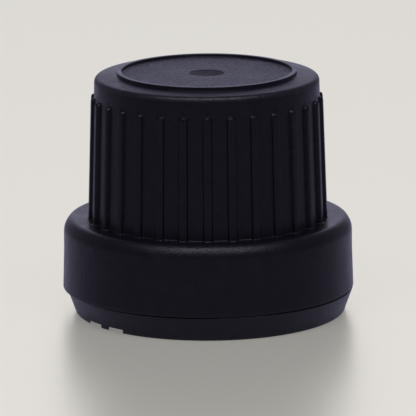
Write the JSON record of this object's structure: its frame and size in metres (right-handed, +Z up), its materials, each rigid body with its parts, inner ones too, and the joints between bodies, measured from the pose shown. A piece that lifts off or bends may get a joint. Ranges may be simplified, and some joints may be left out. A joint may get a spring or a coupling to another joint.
{
  "type": "tamper-evident dropper cap",
  "caption": "Ribbed screw cap with a tamper-evident band under a wide collar, holding a dropper insert for a small bottle.",
  "frame": {"origin": "on the cap's axis, at the lower edge of the tamper-evident band, which the cap stands on", "axes": "+Z up along the cap's axis, from the mouth to the closed crown; -Y to the front of the picture, +X to its right"},
  "size_m": [0.026, 0.026, 0.0218],
  "materials": {
    "cap_black": "fine-grained semi-matte polypropylene, bluish black",
    "insert_natural": "natural low-density polyethylene, milky white, waxy"
  },
  "bodies": {
    "insert": {"dropper_insert": "insert_natural"},
    "cap": {"screw_cap": "cap_black"}
  },
  "joints": [
    {"name": "cap_lift", "type": "slide", "parent": "insert", "child": "cap", "axis": [0, 0, 1], "range_m": [0, 0.024]}
  ]
}
